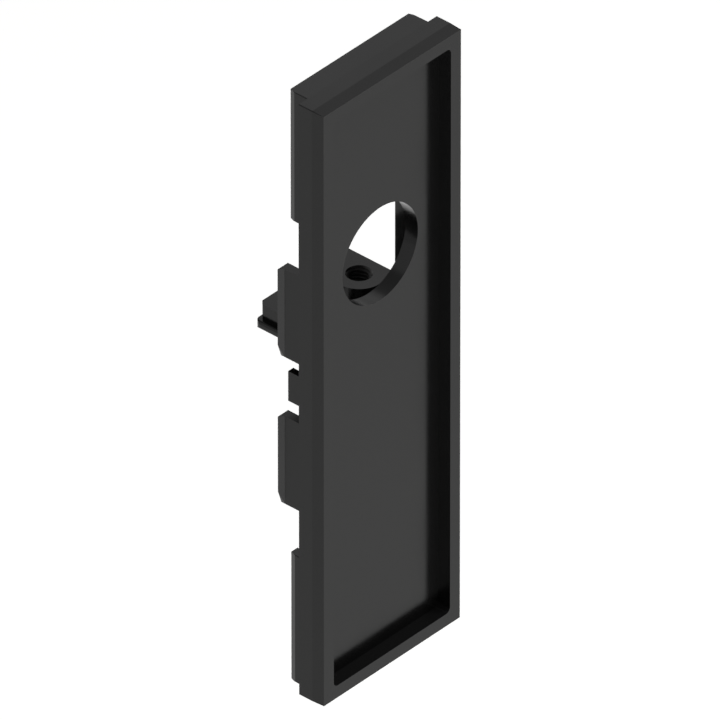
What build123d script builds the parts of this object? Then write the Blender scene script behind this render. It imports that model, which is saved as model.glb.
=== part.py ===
"""Profile end cap, moulded in black plastic as one piece.

Millimetres. The cap closes the end of an upright hollow profile section.
X runs across the profile, Z along its tall side and Y into it, so the face that shows
looks towards -Y. The origin is the middle of the seat, the plane where the cover plate
meets the cut end of the profile.
"""

import os
from math import atan, degrees

from build123d import *

# Cover plate
plate_width = 40.0
plate_height = 139.5
plate_thickness = 6.3
plate_corner_radius = 0.2
front_taper_depth = 2.85  # the outer faces lean in over this last stretch to the front
front_taper_inset = 0.17

# Shallow tray in the front of the plate
rim_width = 3.05
tray_floor_thickness = 3.2
tray_corner_radius = 1.2

# Round opening through the tray floor
opening_radius = 10.9
opening_height = 25.8  # its centre, above the middle of the plate

# Two plug walls, each a U that hugs three sides of the profile's inside
plug_side_inset = 2.5
plug_depth = 4.7
plug_wall = 2.4
plug_leg_length = 30.4
plug_draft_angle = 1.0
plug_corner_radius = 0.2
lead_in_width = 0.5
lead_in_depth = 1.5

# Four snap clips, an upper and a lower pair
clip_wall = 2.0
clip_depth = 6.8
clip_height = 20.75
clip_spacing = 34.75  # from the lower pair to the upper pair
upper_clip_foot = 6.4  # the foot of the upper pair, above the middle of the plate
barb_reach = 1.0
barb_slope_depth = 0.9
barb_ramp_height = 3.0

# Two small locating tabs halfway up the sides
tab_wall = 1.5
tab_depth = 5.0
tab_height = 7.0

# Anchor shelf behind the opening, with a threaded hole and a hooked arm
shelf_thickness = 5.1
shelf_depth = 13.7
boss_radius = 5.35
thread_radius = 2.5
thread_chamfer = 0.2
thread_offset = 4.0  # to the right of the middle of the plate
thread_depth = 5.85  # behind the seat
shelf_edge_width = 4.9  # from the thread's axis to the straight right edge
arm_gap = 0.7  # between the back of the clips and the arm
arm_corner_cut = 1.0  # across the back corner of the arm's end
hook_reach = 1.25  # the lip comes out level with the outside of the plug walls
hook_thickness = 1.8
hook_corner_round = 1.35  # seen from above
hook_round = 0.6

# Rear flange, a wall that hangs from the back of the shelf
flange_width = 17.0
flange_thickness = 4.0
flange_height = 7.3

# Places worked out from the sizes above
plug_width = plate_width - 2 * plug_side_inset
front_taper_angle = degrees(atan(front_taper_inset / front_taper_depth))
plug_outer = plug_width / 2
plug_foot = plate_height / 2 - plug_leg_length  # where the upper plug wall's legs end
clip_inner = plug_outer - clip_wall
clip_feet = [upper_clip_foot, upper_clip_foot - clip_spacing]
shelf_top = opening_height - opening_radius
shelf_foot = shelf_top - shelf_thickness
arm_front = clip_depth + arm_gap
arm_end = -(plug_outer - hook_reach)
shelf_edge = thread_offset + shelf_edge_width


with BuildPart() as end_cap:
    # The plate stands in front of the seat: straight sides first, then the tapered front
    with BuildSketch(Plane.front):
        RectangleRounded(plate_width, plate_height, plate_corner_radius)
    extrude(amount=plate_thickness - front_taper_depth)
    extrude(end_cap.faces().sort_by(Axis.Y)[0], amount=front_taper_depth, taper=front_taper_angle)

    # The tray is open to the front and leaves a floor of even thickness
    with BuildSketch(Plane.front.offset(tray_floor_thickness)):
        RectangleRounded(
            plate_width - 2 * rim_width,
            plate_height - 2 * rim_width,
            tray_corner_radius,
        )
    extrude(amount=plate_thickness - tray_floor_thickness, mode=Mode.SUBTRACT)

    # Plug walls: the top one is drawn, the bottom one is its mirror image
    with BuildSketch(Plane.back) as plug_walls:
        with Locations((0, plug_foot)):
            Rectangle(plug_width, plug_leg_length, align=(Align.CENTER, Align.MIN))
            Rectangle(
                plug_width - 2 * plug_wall,
                plug_leg_length - plug_wall,
                align=(Align.CENTER, Align.MIN),
                mode=Mode.SUBTRACT,
            )
        outer_corners = plug_walls.vertices().group_by(Axis.X)
        fillet(outer_corners[0] + outer_corners[-1], plug_corner_radius)
        mirror(about=Plane.XZ)
    extrude(amount=plug_depth, taper=plug_draft_angle)

    # The legs lead in at the back of their outer sides
    for foot in (plug_foot, -plate_height / 2):
        with BuildSketch(Plane.XY.offset(foot)):
            with BuildLine():
                Polyline(
                    (plug_outer, plug_depth - lead_in_depth),
                    (plug_outer, plug_depth),
                    (plug_outer - lead_in_width, plug_depth),
                    close=True,
                )
            make_face()
            mirror(about=Plane.YZ)
        extrude(amount=plug_leg_length, mode=Mode.SUBTRACT)

    # Locating tabs
    with BuildSketch(Plane.back):
        for side in (-1, 1):
            with Locations((side * (plug_outer - tab_wall / 2), 0)):
                Rectangle(tab_wall, tab_height)
    extrude(amount=tab_depth)

    # Snap clips: a wall with a barb along its back edge, drawn in plan on the left
    for foot in clip_feet:
        with BuildSketch(Plane.XY.offset(foot)):
            with BuildLine():
                Polyline(
                    (-plug_outer, 0),
                    (-plug_outer, clip_depth - barb_slope_depth),
                    (-plug_outer - barb_reach, clip_depth),
                    (-clip_inner, clip_depth),
                    (-clip_inner, 0),
                    close=True,
                )
            make_face()
            mirror(about=Plane.YZ)
        extrude(amount=clip_height)

        # Each barb runs in from its foot, so it rides up when the cap is slid down
        with BuildSketch(Plane.back.offset(clip_depth)):
            with BuildLine():
                Polyline(
                    (plug_outer, foot),
                    (plug_outer + barb_reach, foot + barb_ramp_height),
                    (plug_outer + barb_reach, foot),
                    close=True,
                )
            make_face()
            mirror(about=Plane.YZ)
        extrude(amount=-barb_slope_depth, mode=Mode.SUBTRACT)

    # Anchor shelf in plan: a stem from the plate, a boss round the thread and an arm
    with BuildSketch(Plane.XY.offset(shelf_foot)) as shelf_plan:
        with Locations((thread_offset, 0)):
            Rectangle(shelf_edge_width, shelf_depth, align=(Align.MIN, Align.MIN))
        with Locations((thread_offset, thread_depth)):
            Circle(boss_radius)
        with Locations((shelf_edge, thread_depth)):
            Rectangle(
                shelf_edge_width + boss_radius,
                shelf_depth - thread_depth,
                align=(Align.MAX, Align.MIN),
            )
        with Locations((arm_end, arm_front)):
            Rectangle(
                shelf_edge - arm_end,
                shelf_depth - arm_front,
                align=(Align.MIN, Align.MIN),
            )
        with Locations((shelf_edge, 0)):
            Rectangle(
                boss_radius,
                shelf_depth,
                align=(Align.MIN, Align.MIN),
                mode=Mode.SUBTRACT,
            )
        back_corner = shelf_plan.vertices().sort_by_distance((arm_end, shelf_depth, 0))[0]
        chamfer(back_corner, arm_corner_cut)
    extrude(amount=shelf_thickness)

    # Hook: a lip along the lower edge of the arm's end, rounded at its rear corner
    with BuildSketch(Plane.XZ.offset(-shelf_depth)) as hook_section:
        with Locations((-plug_outer, shelf_foot)):
            Rectangle(hook_reach + arm_corner_cut, hook_thickness, align=(Align.MIN, Align.MIN))
        fillet(hook_section.vertices().group_by(Axis.X)[0], hook_round)
    extrude(amount=shelf_depth - arm_front)
    with BuildSketch(Plane.XY.offset(shelf_foot)):
        with Locations((-plug_outer, shelf_depth)):
            Rectangle(hook_corner_round, hook_corner_round, align=(Align.MIN, Align.MAX))
        with Locations((hook_corner_round - plug_outer, shelf_depth - hook_corner_round)):
            Circle(hook_corner_round, mode=Mode.SUBTRACT)
    extrude(amount=hook_thickness, mode=Mode.SUBTRACT)

    # Rear flange, level with the shelf's back and its straight right edge
    with BuildSketch(Plane.XY.offset(shelf_foot)):
        with Locations((shelf_edge, shelf_depth)):
            Rectangle(flange_width, flange_thickness, align=(Align.MAX, Align.MAX))
    extrude(amount=-flange_height)

    # Round opening through the tray floor
    with Locations(Plane.front.offset(tray_floor_thickness)):
        with Locations((0, opening_height)):
            Hole(opening_radius, depth=tray_floor_thickness)

    # Threaded hole through the boss; its ridges stand inside this bore
    with Locations((thread_offset, thread_depth, shelf_top)):
        Hole(thread_radius, depth=shelf_thickness)
    thread_mouths = end_cap.edges().filter_by(
        lambda edge: edge.geom_type == GeomType.CIRCLE
        and abs(edge.radius - thread_radius) < 0.01
        and abs(edge.arc_center.X - thread_offset) < 0.01
        and abs(edge.arc_center.Y - thread_depth) < 0.01
    )
    chamfer(thread_mouths, thread_chamfer)

end_cap.part.label = "end_cap"

os.makedirs("parts", exist_ok=True)
export_step(end_cap.part, "parts/end_cap.step")
print("volume", round(end_cap.part.volume, 1), "cubic mm")
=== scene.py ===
import math

import bpy
import numpy as np
from mathutils import Matrix, Vector


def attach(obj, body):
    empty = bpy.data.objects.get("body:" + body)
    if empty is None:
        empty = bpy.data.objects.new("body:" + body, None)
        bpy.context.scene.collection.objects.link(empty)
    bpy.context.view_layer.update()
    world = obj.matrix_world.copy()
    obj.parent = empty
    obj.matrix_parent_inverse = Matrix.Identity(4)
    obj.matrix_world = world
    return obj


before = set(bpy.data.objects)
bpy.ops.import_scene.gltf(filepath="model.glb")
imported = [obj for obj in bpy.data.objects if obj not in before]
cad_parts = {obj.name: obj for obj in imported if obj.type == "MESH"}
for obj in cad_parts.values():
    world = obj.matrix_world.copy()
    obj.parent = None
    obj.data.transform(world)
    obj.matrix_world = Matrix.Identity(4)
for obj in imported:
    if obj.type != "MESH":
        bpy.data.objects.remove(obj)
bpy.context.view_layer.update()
scene = bpy.context.scene
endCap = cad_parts["end_cap"]
print("frame loaded")

mm = 0.001


# a very long lens, so upright and level lines stay almost parallel, as in the photograph
cameraSetup = {
    "lens": 1700.0,
    "sensor": 36.0,
    "frameWidth": 139.05 * mm,  # what the picture's width covers at the object
    "right": Vector((0.6659, -0.7461, 0.0)),
    "up": Vector((0.4308, 0.3845, 0.8165)),
    "middleRight": -1.515 * mm,  # the picture's middle, along right and up from the seat's middle
    "middleUp": -0.63 * mm,
    "clipStart": 0.5,
    "clipEnd": 20.0,
}


def makeCamera(values):
    right = values["right"].normalized()
    back = right.cross(values["up"]).normalized()
    up = back.cross(right)
    distance = values["frameWidth"] * values["lens"] / values["sensor"]
    place = right * values["middleRight"] + up * values["middleUp"] + back * distance
    data = bpy.data.cameras.new("photo_camera")
    data.lens = values["lens"]
    data.sensor_width = values["sensor"]
    data.clip_start = values["clipStart"]
    data.clip_end = values["clipEnd"]
    camera = bpy.data.objects.new("photo_camera", data)
    turn = Matrix((right, up, back)).transposed().to_4x4()
    camera.matrix_world = Matrix.Translation(place) @ turn
    scene.collection.objects.link(camera)
    scene.camera = camera


makeCamera(cameraSetup)
scene.view_settings.view_transform = "Standard"
print("camera placed")


def addMath(nodes, links, operation, first, second):
    node = nodes.new("ShaderNodeMath")
    node.operation = operation
    links.new(first, node.inputs[0])
    links.new(second, node.inputs[1])
    return node.outputs["Value"]


def addSeenMask(nodes, links, rays):
    # 1 for camera, glossy and transmission rays, 0 for the others
    cameraOrGlossy = addMath(
        nodes, links, "MAXIMUM", rays.outputs["Is Camera Ray"], rays.outputs["Is Glossy Ray"]
    )
    return addMath(nodes, links, "MAXIMUM", cameraOrGlossy, rays.outputs["Is Transmission Ray"])


def addSmoothStep(nodes, links, value, start, end, low, high):
    # low up to start, high from end on, and a smooth change between
    node = nodes.new("ShaderNodeMapRange")
    node.interpolation_type = "SMOOTHSTEP"
    node.inputs["From Min"].default_value = start
    node.inputs["From Max"].default_value = end
    node.inputs["To Min"].default_value = low
    node.inputs["To Max"].default_value = high
    links.new(value, node.inputs["Value"])
    return node.outputs["Result"]


# white surroundings, which reflections find greyer overhead and on the right
surroundings = {
    "colour": (1.0, 1.0, 1.0, 1.0),
    "white": 1.0,  # strength that reflections find elsewhere, as the camera does all round
    "ambient": 0.18,  # strength that lights matt surfaces
    "ceilingGrey": 0.38,  # strength that reflections find overhead
    "ceilingFrom": 0.70,  # upward part of the direction where the ceiling starts
    "ceilingTo": 0.73,
    "sideGrey": 0.40,  # share of the strength that reflections find on the right
    "sideFull": 1.0,  # and everywhere else
    "sideAxis": (-0.602, 0.799, 0.0),  # level, pointing away from the grey side
    "sideFrom": -0.06,  # part of the direction along that axis where the grey ends
    "sideTo": 0.04,
}


def makeWorld(values):
    world = bpy.data.worlds.new("studio_white")
    scene.world = world
    world.use_nodes = True
    nodes, links = world.node_tree.nodes, world.node_tree.links
    nodes.clear()
    direction = nodes.new("ShaderNodeTexCoord").outputs["Generated"]
    parts = nodes.new("ShaderNodeSeparateXYZ")
    links.new(direction, parts.inputs["Vector"])
    ceiling = addSmoothStep(
        nodes,
        links,
        parts.outputs["Z"],
        values["ceilingFrom"],
        values["ceilingTo"],
        values["white"],
        values["ceilingGrey"],
    )
    along = nodes.new("ShaderNodeVectorMath")
    along.operation = "DOT_PRODUCT"
    along.inputs[1].default_value = values["sideAxis"]
    links.new(direction, along.inputs[0])
    side = addSmoothStep(
        nodes,
        links,
        along.outputs["Value"],
        values["sideFrom"],
        values["sideTo"],
        values["sideGrey"],
        values["sideFull"],
    )
    rays = nodes.new("ShaderNodeLightPath")
    reflected = addMath(nodes, links, "MULTIPLY", ceiling, side)
    shown = addMath(nodes, links, "MAXIMUM", reflected, rays.outputs["Is Camera Ray"])
    strength = nodes.new("ShaderNodeMapRange")
    strength.inputs["To Min"].default_value = values["ambient"]
    links.new(shown, strength.inputs["To Max"])
    links.new(addSeenMask(nodes, links, rays), strength.inputs["Value"])
    background = nodes.new("ShaderNodeBackground")
    background.inputs["Color"].default_value = values["colour"]
    links.new(strength.outputs["Result"], background.inputs["Strength"])
    output = nodes.new("ShaderNodeOutputWorld")
    links.new(background.outputs["Background"], output.inputs["Surface"])


# a wide key overhead and a small weak lamp low on the left
lamps = {
    "key_softbox": {"place": Vector((0.35, -0.65, 2.25)), "size": 1.2, "power": 46.0},
    "low_softbox": {"place": Vector((-0.324, -0.360, -0.346)), "size": 0.32, "power": 0.38},
}


def makeLamp(name, values):
    # a round soft lamp that looks at the seat's middle
    data = bpy.data.lights.new(name, "AREA")
    data.shape = "DISK"
    data.size = values["size"]
    data.energy = values["power"]
    lamp = bpy.data.objects.new(name, data)
    aim = values["place"].to_track_quat("Z", "Y").to_matrix().to_4x4()
    lamp.matrix_world = Matrix.Translation(values["place"]) @ aim
    lamp.visible_camera = False
    scene.collection.objects.link(lamp)


# a pale floor well below the part
floorSetup = {
    "level": -0.55,
    "half": 6.0,
    "colour": (0.82, 0.82, 0.81, 1.0),
    "lift": 0.52,  # added where the camera or a reflection sees the floor
}


def makeFloor(values):
    signs = [(-1, -1), (1, -1), (1, 1), (-1, 1)]
    corners = [(x * values["half"], y * values["half"], values["level"]) for x, y in signs]
    mesh = bpy.data.meshes.new("studio_floor")
    mesh.from_pydata(corners, [], [(0, 1, 2, 3)])
    floor = bpy.data.objects.new("studio_floor", mesh)
    scene.collection.objects.link(floor)
    material = bpy.data.materials.new("pale_floor")
    material.use_nodes = True
    nodes, links = material.node_tree.nodes, material.node_tree.links
    nodes.clear()
    matt = nodes.new("ShaderNodeBsdfDiffuse")
    matt.inputs["Color"].default_value = values["colour"]
    lift = nodes.new("ShaderNodeMath")
    lift.operation = "MULTIPLY"
    lift.inputs[1].default_value = values["lift"]
    seen = addSeenMask(nodes, links, nodes.new("ShaderNodeLightPath"))
    links.new(seen, lift.inputs[0])
    glow = nodes.new("ShaderNodeEmission")
    links.new(lift.outputs["Value"], glow.inputs["Strength"])
    both = nodes.new("ShaderNodeAddShader")
    links.new(matt.outputs["BSDF"], both.inputs[0])
    links.new(glow.outputs["Emission"], both.inputs[1])
    output = nodes.new("ShaderNodeOutputMaterial")
    links.new(both.outputs["Shader"], output.inputs["Surface"])
    mesh.materials.append(material)


makeWorld(surroundings)
for lampName, lampValues in lamps.items():
    makeLamp(lampName, lampValues)
makeFloor(floorSetup)
print("studio lit")


# what the mould leaves on every plastic
mouldTexture = {
    "grainDetail": 2.0,
    "cloudDetail": 3.0,
    "cloudLow": 0.3,  # part of the clouds' range that the roughness follows
    "cloudHigh": 0.7,
}


def makeMouldGrain(values):
    # fine grain left by a spark-eroded mould, and slow clouds that change the gloss a little
    group = bpy.data.node_groups.new("mould_grain", "ShaderNodeTree")
    for name in ("Grain Scale", "Cloud Scale"):
        group.interface.new_socket(name, in_out="INPUT", socket_type="NodeSocketFloat")
    for name in ("Height", "Cloud"):
        group.interface.new_socket(name, in_out="OUTPUT", socket_type="NodeSocketFloat")
    nodes, links = group.nodes, group.links
    given = nodes.new("NodeGroupInput")
    result = nodes.new("NodeGroupOutput")
    place = nodes.new("ShaderNodeTexCoord")
    noises = [
        ("Grain Scale", values["grainDetail"], "Height"),
        ("Cloud Scale", values["cloudDetail"], "Cloud"),
    ]
    for scaleName, detail, resultName in noises:
        noise = nodes.new("ShaderNodeTexNoise")
        noise.inputs["Detail"].default_value = detail
        links.new(place.outputs["Object"], noise.inputs["Vector"])
        links.new(given.outputs[scaleName], noise.inputs["Scale"])
        links.new(noise.outputs["Fac"], result.inputs[resultName])
    return group


mouldGrain = makeMouldGrain(mouldTexture)

# deep black satin plastic
mouldedPlastic = {
    "name": "black_moulded_plastic",
    "colour": (0.005, 0.005, 0.005, 1.0),
    "ior": 1.315,
    "roughness": 0.20,
    "roughnessSpread": 0.04,
    "grainScale": 5200.0,  # grains per metre
    "grainHeight": 0.0025 * mm,
    "cloudScale": 60.0,  # clouds per metre
}

# the thread's flanks came off a screw core, duller than the mould's walls
threadPlastic = {
    "name": "black_thread_plastic",
    "colour": (0.004, 0.004, 0.004, 1.0),
    "ior": 1.315,
    "roughness": 0.48,
    "roughnessSpread": 0.05,
    "grainScale": 9000.0,
    "grainHeight": 0.002 * mm,
    "cloudScale": 300.0,
}


def makePlastic(values, texture):
    material = bpy.data.materials.new(values["name"])
    material.use_nodes = True
    nodes, links = material.node_tree.nodes, material.node_tree.links
    nodes.clear()
    grain = nodes.new("ShaderNodeGroup")
    grain.node_tree = mouldGrain
    grain.inputs["Grain Scale"].default_value = values["grainScale"]
    grain.inputs["Cloud Scale"].default_value = values["cloudScale"]
    rough = nodes.new("ShaderNodeMapRange")
    rough.inputs["From Min"].default_value = texture["cloudLow"]
    rough.inputs["From Max"].default_value = texture["cloudHigh"]
    rough.inputs["To Min"].default_value = values["roughness"] - values["roughnessSpread"]
    rough.inputs["To Max"].default_value = values["roughness"] + values["roughnessSpread"]
    links.new(grain.outputs["Cloud"], rough.inputs["Value"])
    bump = nodes.new("ShaderNodeBump")
    bump.inputs["Distance"].default_value = values["grainHeight"]
    links.new(grain.outputs["Height"], bump.inputs["Height"])
    surface = nodes.new("ShaderNodeBsdfPrincipled")
    surface.inputs["Base Color"].default_value = values["colour"]
    surface.inputs["IOR"].default_value = values["ior"]
    links.new(rough.outputs["Result"], surface.inputs["Roughness"])
    links.new(bump.outputs["Normal"], surface.inputs["Normal"])
    output = nodes.new("ShaderNodeOutputMaterial")
    links.new(surface.outputs["BSDF"], output.inputs["Surface"])
    return material


endCap.data.materials.clear()
endCap.data.materials.append(makePlastic(mouldedPlastic, mouldTexture))
print("plastic given to the moulding")


# the ridges inside the anchor hole, as a sleeve sunk a little into the hole's wall
thread = {
    "axisX": 4.0 * mm,
    "axisY": 5.85 * mm,
    "foot": 9.8 * mm,
    "top": 14.9 * mm,
    "radius": 2.5 * mm,
    "mouthRadius": 2.7 * mm,
    "pitch": 0.8 * mm,
    "ridgeDepth": 0.433 * mm,
    "rootShare": 1 / 8,  # flat parts of a ridge, as shares of the pitch
    "crestShare": 1 / 4,
    "sunk": 0.05 * mm,
    "around": 120,
    "rowsPerPitch": 16,
}


def threadRidge(phase, rootShare, crestShare):
    # height of a ridge, 0 to 1, over one pitch: half of the flat root, a straight slope up,
    # the flat crest, a straight slope down and the other half of the root
    slope = (1.0 - rootShare - crestShare) / 2.0
    along = phase % 1.0
    rise = (along - rootShare / 2.0) / slope
    fall = (1.0 - rootShare / 2.0 - along) / slope
    return np.clip(np.minimum(rise, fall), 0.0, 1.0)


def makeThread(values):
    # the inner wall's radius is the bore's radius less the ridge height, where the ridge's
    # phase is height / pitch - angle / full turn, and a 45 degree cone at each mouth cuts the
    # ridges back. The rows run up the inner wall and down the outer one, which closes the sleeve.
    around = values["around"]
    mouth = values["mouthRadius"] - values["radius"]
    low, high = values["foot"] + mouth, values["top"] - mouth
    rows = int(round((high - low) / values["pitch"] * values["rowsPerPitch"])) + 1
    height = np.linspace(low, high, rows)[:, None]
    angle = np.arange(around)[None, :] * 2.0 * math.pi / around
    phase = height / values["pitch"] - angle / (2.0 * math.pi)
    ridge = threadRidge(phase, values["rootShare"], values["crestShare"])
    cone = values["radius"] - np.minimum(height - low, high - height)
    inner = np.maximum(values["radius"] - values["ridgeDepth"] * ridge, cone)
    outer = np.full((2, around), values["radius"] + values["sunk"])
    radius = np.vstack([inner, outer])
    level = np.vstack([height, [[high], [low]]])
    across = values["axisX"] + radius * np.cos(angle)
    deep = values["axisY"] + radius * np.sin(angle)
    points = np.stack(np.broadcast_arrays(across, deep, level), axis=-1).reshape(-1, 3)

    # each face joins two rows and two columns, and the last of either joins the first
    row = np.arange(rows + 2)[:, None]
    column = np.arange(around)[None, :]
    nextRow = (row + 1) % (rows + 2)
    nextColumn = (column + 1) % around
    corners = [(row, column), (nextRow, column), (nextRow, nextColumn), (row, nextColumn)]
    faces = np.stack([r * around + c for r, c in corners], axis=-1).reshape(-1, 4)
    mesh = bpy.data.meshes.new("anchor_thread")
    mesh.from_pydata(points.tolist(), [], faces.tolist())
    mesh.materials.append(makePlastic(threadPlastic, mouldTexture))
    mesh.update()
    piece = bpy.data.objects.new("anchor_thread", mesh)
    scene.collection.objects.link(piece)
    return piece


anchorThread = makeThread(thread)
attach(anchorThread, "root")
print("thread cut")
